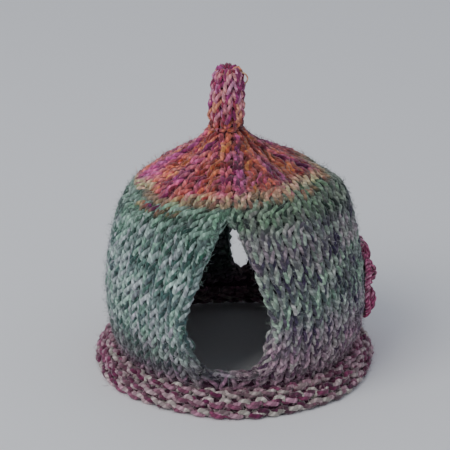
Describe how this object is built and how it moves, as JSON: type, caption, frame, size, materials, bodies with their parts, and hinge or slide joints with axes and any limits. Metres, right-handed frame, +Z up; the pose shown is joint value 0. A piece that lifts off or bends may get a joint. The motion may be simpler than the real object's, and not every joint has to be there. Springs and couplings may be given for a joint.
{
  "type": "tea cosy",
  "caption": "Hand-knitted tea cosy: domed body with a spout opening, a handle slit, a flared garter-stitch brim, a ribbed crown, a short stalk on top and a crocheted flower on its side.",
  "frame": {"origin": "centre of the cosy's bounding box on the plane that its hem rests on", "axes": "+Z up through the stalk; -Y is the front, where the spout comes out; +X is the side with the flower"},
  "size_m": [0.1591, 0.1549, 0.1723],
  "materials": {
    "marled_wool": "hand-knitted marled wool, one light and one dark strand held together",
    "magenta_wool": "hand-knitted magenta and orange marled wool",
    "crimson_wool": "crocheted crimson wool"
  },
  "bodies": {
    "root": {"knitted_body": "marled_wool", "stalk": "magenta_wool", "flower": "crimson_wool"}
  },
  "joints": []
}
